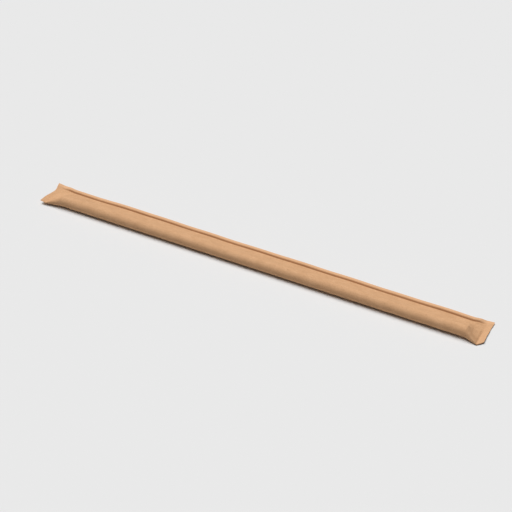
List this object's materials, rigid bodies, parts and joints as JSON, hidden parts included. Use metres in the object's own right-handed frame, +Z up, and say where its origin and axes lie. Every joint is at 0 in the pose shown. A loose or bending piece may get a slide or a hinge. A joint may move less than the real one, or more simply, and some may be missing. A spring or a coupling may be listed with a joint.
{
  "type": "wrapped drinking straw",
  "caption": "Paper drinking straw sealed in a flat kraft paper sleeve, with a sealed margin along its length and flat pressed ends.",
  "frame": {"origin": "middle of the flat underside, at the centre of the overall length and width", "axes": "+X along the straw, +Y across the sleeve towards the sealed margin, +Z up from the flat underside"},
  "size_m": [0.262, 0.0196, 0.0062],
  "materials": {
    "kraft_paper": "matt unbleached brown kraft paper with fine fibre flecks"
  },
  "bodies": {
    "root": {"wrapped_straw": "kraft_paper"}
  },
  "joints": []
}
